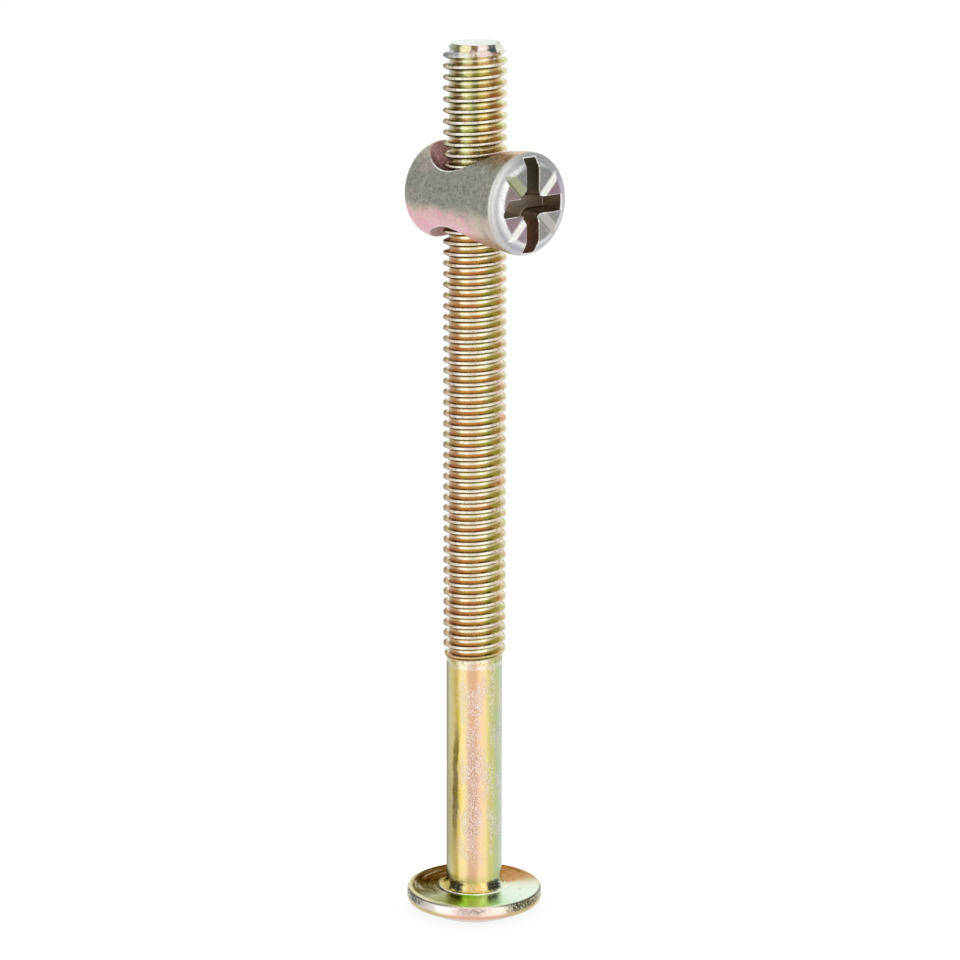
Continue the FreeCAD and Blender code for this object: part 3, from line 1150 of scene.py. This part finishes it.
# %% Finish of the bolt
# The parts joined by height, with the ring at the run-out scuffed and scraped.
is_top = film.product((z, HEAD_H - 0.12, HEAD_H - 0.03), (radius, 2.59, 2.6))
colour = film.paint(
    head,
    (top, is_top),
    (neck, (z, HEAD_H + 0.02, HEAD_H + 0.06)),
    (shank, (z, HEAD_H + 0.75, HEAD_H + 1.5)),
    (thread, (film.linear(drift, 1.2, z), SHANK_TOP + 0.1, SHANK_TOP + 0.7)),
    ("f6f0e4", (z, SHANK_TOP - 0.3, SHANK_TOP + 0.12, 0.08), (coarse, 0.36, 0.56), 0.75),
    ("6c5c3c", (z, SHANK_TOP + 0.2, SHANK_TOP + 1.3, 0.1), (coarse, 0.54, 0.64), 0.6),
    (first, (high, TIP_Z - 1.45, TIP_Z - 1.15)),
    (chamfer, (high, TIP_Z - 0.72, TIP_Z - 0.58)),
    (end, (z, TIP_Z - 0.02, TIP_Z - 0.005)))
roughness = film.linear(flecks, 0.2, film.linear(fine, 0.22, 0.07))
# The relief raises the flecks and the painted dark reflection patches a little.
height = film.linear(dark_reflection_patches, 1.2, film.linear(flecks, 0.8, fine))
glancing = film.blend(is_top, WHITE, top)
film.metal(colour, roughness, film.relief(height, 0.02, 0.4), glancing)
bolt.data.materials.append(bolt_finish)
film.tell("finish of the bolt")

# %% [markdown]
# ## Colours of the dull zinc
#
# The nut went through a different bath. Its zinc is grey, with an olive cast above and a pink one
# below. The end is brighter, since it was turned last: silver on the bevel, and lilac and grey
# between the slots. The bevel also carries a painted highlight, lighter on the side towards the
# camera. Three ramps hold these colours, by the angle round the barrel.

# %% Colour ramps of the nut
BARREL_BANDS = {
    0.0: "c8b4a0", 0.12: "b0a494", 0.22: "d4b4b0", 0.29: "f0c8c4", 0.34: "ffccd6", 0.4: "ffccd6",
    0.455: "f4ccc8", 0.475: "ccc4b4", 0.49: "acaa9e", 0.55: "a6a69b", 0.62: "acaba0",
    0.67: "c8b8a4", 0.71: "f4cca8", 0.78: "f6cca8", 0.9: "a4a094"}
END_FACE = {
    0.0: "b09ca0", 0.06: "ac8c96", 0.17: "b29aa6", 0.22: "b0a8ac", 0.28: "acacac", 0.375: "aaa8a4",
    0.45: "acaaaa", 0.52: "b49ea8", 0.565: "a88494", 0.6: "a69898", 0.66: "a4a4a2", 0.72: "9ea09c",
    0.78: "9c9e96", 0.84: "9ea096", 0.875: "a09a92", 0.93: "a08c8c"}
# Bevel: a painted highlight, lighter on the side towards the camera.
END_BEVEL = {
    0.0: "dedad8", 0.1: "dcd8d8", 0.18: "d4d2d8", 0.27: "e4e4e4", 0.38: "dcdcdc", 0.5: "c0b8c0",
    0.58: "a89eac", 0.66: "a0a2a2", 0.74: "a8acac", 0.82: "c8ccc8", 0.92: "e6e4e2"}
print("ramps of", len(BARREL_BANDS), len(END_FACE), len(END_BEVEL), "colours")

# %% [markdown]
# ## Dull zinc: barrel and end
#
# The crystals of the plating show as a fine grain over larger clouds, so both the barrel and the
# end are painted with the same noises: coarse, grain and fine.

# %% Fields of the nut's finish
# Above is the height over the barrel's axis, and bent is the share of a turn round it, with drift.
nut_finish, zinc = new_finish("dull_zinc")
x, y, z = zinc.parts(zinc.place_mm())
above = zinc.math("SUBTRACT", z, NUT_Z)
from_axis = zinc.length(y, above)
clouds = zinc.noise(0.45, 3.0, 0.55)
coarse = zinc.noise(1.7, 4.0, 0.6)
grain = zinc.noise(3.6, 5.0, 0.75)
fine = zinc.noise(8.0, 4.0, 0.7)
drift = zinc.product(zinc.centred(clouds), 0.1)
around = zinc.turn(zinc.math("MULTIPLY", y, -1.0), above, 0.0)
bent = zinc.math("FRACT", zinc.math("ADD", around, drift))
zinc.tell("shared fields")

# %% Barrel
# Grey above and pink below, with tinted clouds, then dark specks and light crystals.
low_side = zinc.step(bent, 0.49, 0.45)
hue = zinc.noise((0.55, 0.3, 0.3))
speckled = zinc.linear(low_side, -0.38, 0.55)
plain_end = zinc.product((x, -4.3, -5.1), (from_axis, 4.3, 2.4))
barrel = zinc.paint(
    zinc.ramp(bent, BARREL_BANDS),
    ("f0e0b0", low_side, (hue, 0.43, 0.34), 0.45),
    ("ffb8cc", low_side, (hue, 0.5, 0.6), 0.6),
    ("d4bcb4", (clouds, 0.56, 0.68), 0.35),
    ("ccc6b4", low_side, (x, 2.6, 6.0), 0.75),
    ("a4ae98", (bent, 0.47, 0.5), (x, 0.5, 5.5, 1.5), 0.3),
    ("b4b0a8", plain_end, 0.9),
    ("d0d4c8", (coarse, 0.53, 0.64), 0.3),
    ("787a72", (coarse, 0.46, 0.36), speckled, 0.65),
    ("545650", (grain, 0.54, 0.36), speckled),
    ("e8e8e0", (fine, 0.54, 0.7), 0.45))
zinc.tell("barrel")

# %% End
# Lilac and grey sectors inside a silver bevel, which has a painted highlight ring, whitest on the
# side towards the camera, and a grey ring.
angle = zinc.turn(y, above, 0.0)
sector = zinc.math("FRACT", zinc.math("ADD", angle, zinc.product(drift, 0.5)))
ring = zinc.linear(drift, 1.2, from_axis)
face = zinc.paint(
    zinc.ramp(sector, END_FACE),
    ("a09ca4", (coarse, 0.5, 0.38), 0.4),
    ("84848a", (grain, 0.52, 0.36), 0.65),
    ("f8f4f6", (fine, 0.54, 0.7), 0.45))
# Painted highlight on the inner part of the bevel, strongest towards the camera.
bright = zinc.product((ring, 3.5, 3.86, 0.1), (coarse, 0.4, 0.54))
bevel = zinc.paint(
    zinc.ramp(sector, END_BEVEL),
    ("acacb0", (ring, 3.98, 4.26, 0.1), 0.6),
    ("ffffff", bright, zinc.linear((sector, 0.28, 0.7, 0.06), -0.6, 0.72)),
    ("989c9c", (grain, 0.48, 0.34), 0.35))
end = zinc.blend((ring, 3.35, 3.55), face, bevel)
zinc.tell("end")

# %% [markdown]
# ## Dull zinc: grooves, slots and worn edges
#
# The grooves carry painted reflections of the room: one pair is painted nearly white, and the
# other olive on one side and grey on the other. The recess is brown with residue and painted
# shade, darkest on the end wall of the short slot's minus-y arm, browner at its low end and olive
# at its high end. Edges that rubbed in the box are white. Each of these reads a number that the
# mesh carries, so the finish follows the shape wherever an edge or a slot runs.

# %% Grooves and recess
# Painted reflections in the grooves: olive and grey ones, and a nearly white pair where y and the
# height have one sign.
rising = zinc.step(zinc.product(y, above), -1.0, 1.0)
falling_pair = zinc.blend((y, -1.0, 1.0), "b6b896", "ccc8c0")
rising_pair = zinc.blend((fine, 0.3, 0.6), "f8f8e4", "ffffff")
groove = zinc.blend(rising, falling_pair, rising_pair)

# Brown walls and a paler floor, with painted shade over the floor except at the far end of the
# minus-y arm and on that arm's end wall, and tinted by the height.
floor_x = FACE_X - RECESS_DEPTH
bottom = zinc.paint(zinc.blend((fine, 0.5, 0.7), "c4c0b4", "f0ece4"),
                    ("8c8272", (y, -2.2, -1.5)))
residue_and_shade = zinc.paint(
    zinc.blend((zinc.noise(2.4, 4.0), 0.4, 0.62), "a49684", "c0b0a0"),
    (bottom, (x, floor_x + 0.25, floor_x + 0.1)),
    # Painted shade on the end wall of the minus-y arm of the short slot.
    ("7c5a4a", (y, -2.9, -3.25), 0.85),
    ("ccb0a4", (above, -1.0, -2.0), 0.5),
    ("acb0a0", (above, 0.6, 1.4), 0.5))
zinc.tell("grooves and recess")

# %% Finish of the nut
# Barrel and end, then grooves with painted reflections, white worn edges, the reddish mouths and
# the recess with residue and painted shade.
uneven = zinc.linear(zinc.centred(coarse), 0.6, zinc.number("wear"))
wear = zinc.step(uneven, 0.26, 0.46)
unworn = zinc.step(wear, 0.9, 0.3)
colour = zinc.paint(
    barrel,
    (end, (x, BEVEL_X - 0.22, BEVEL_X - 0.02)),
    (groove, zinc.number("groove"), 0.9),
    ("fafafa", wear, 0.9),
    (zinc.blend((grain, 0.4, 0.65), "8c6660", "bc948c"), zinc.number("mouth"), unworn),
    (residue_and_shade, zinc.number("recess"), unworn))
roughness = zinc.linear(fine, 0.3, 0.18)
zinc.metal(colour, roughness, zinc.relief(grain, 0.03, 0.4))
nut.data.materials.append(nut_finish)
zinc.tell("finish of the nut")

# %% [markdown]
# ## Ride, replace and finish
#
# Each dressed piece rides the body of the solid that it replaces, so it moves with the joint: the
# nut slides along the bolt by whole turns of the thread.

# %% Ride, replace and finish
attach(bolt, "bolt")
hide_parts("bolt")
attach(nut, "barrel_nut")
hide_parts("barrel_nut")

bpy.context.scene.view_settings.view_transform = "Standard"
